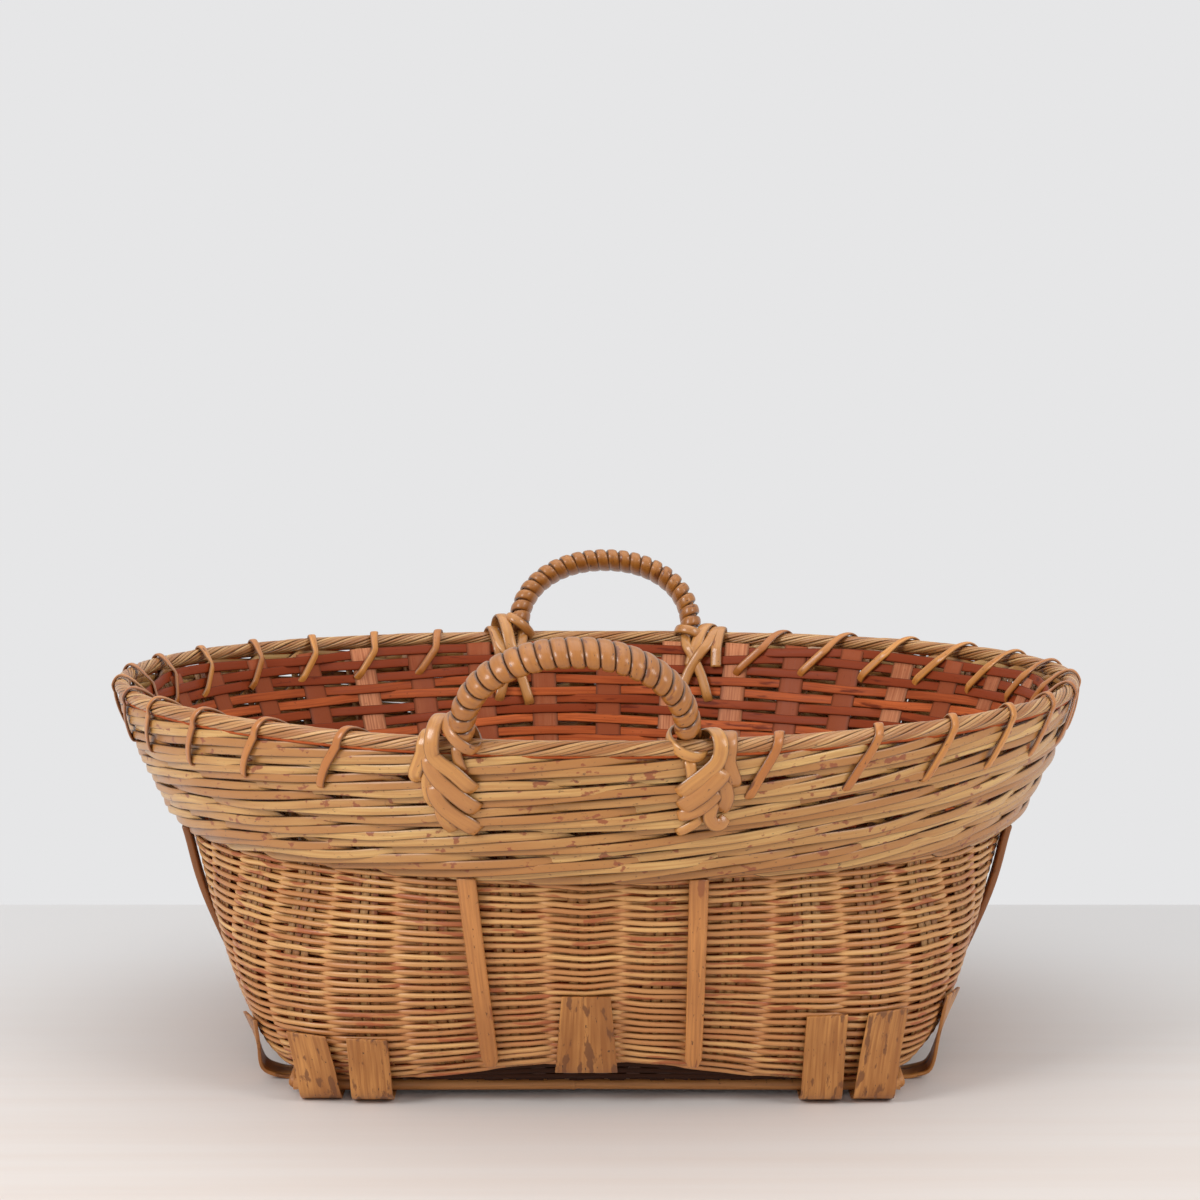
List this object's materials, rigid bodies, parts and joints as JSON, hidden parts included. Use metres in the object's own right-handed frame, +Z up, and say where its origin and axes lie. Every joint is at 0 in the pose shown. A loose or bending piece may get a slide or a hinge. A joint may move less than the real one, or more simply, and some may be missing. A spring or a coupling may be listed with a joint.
{
  "type": "rattan basket",
  "caption": "Open oval rattan basket on a square foot, with a thick woven band, a bound rim and two cane-wrapped arched handles.",
  "frame": {"origin": "on the floor under the middle of the basket, between the foot straps it stands on", "axes": "+X to the right along the wide way of the rim, +Y from the front handle to the rear handle, +Z up"},
  "size_m": [0.4584, 0.4305, 0.211],
  "materials": {
    "weave": "split rattan strands, satin, golden tan",
    "band": "split rattan rods, satin, golden tan with rust patches",
    "lining": "flat red-brown splints, matt",
    "rim": "twisted bundle of fine splints, fibrous",
    "cane": "glossy orange-brown cane bark",
    "core": "plain cane rod, matt",
    "strap": "aged bamboo splint, mottled brown, worn satin",
    "stave": "split bamboo, satin",
    "bamboo": "thin bamboo rod with nodes, satin"
  },
  "bodies": {
    "root": {"base_mat": "weave", "body_weave": "weave", "inner_lining": "lining", "upper_band": "band", "rim_bundle": "rim", "left_rim_lacing": "cane", "right_rim_lacing": "cane", "front_handle_core": "core", "front_handle_wrap": "cane", "front_left_knot": "cane", "front_right_knot": "cane", "rear_handle_core": "core", "rear_handle_wrap": "cane", "rear_left_knot": "cane", "rear_right_knot": "cane", "front_left_stave": "stave", "front_right_stave": "stave", "rear_left_stave": "stave", "rear_right_stave": "stave", "left_front_stave": "stave", "left_rear_stave": "stave", "right_front_stave": "stave", "right_rear_stave": "stave", "front_left_foot_strap": "strap", "front_right_foot_strap": "strap", "rear_left_foot_strap": "strap", "rear_right_foot_strap": "strap", "left_front_foot_strap": "strap", "left_rear_foot_strap": "strap", "right_front_foot_strap": "strap", "right_rear_foot_strap": "strap", "front_left_corner_strap": "strap", "front_right_corner_strap": "strap", "rear_left_corner_strap": "strap", "rear_right_corner_strap": "strap", "front_tongue": "strap", "rear_tongue": "strap", "left_tongue": "strap", "right_tongue": "strap", "front_runner": "bamboo", "rear_runner": "bamboo", "left_runner": "bamboo", "right_runner": "bamboo"}
  },
  "joints": []
}
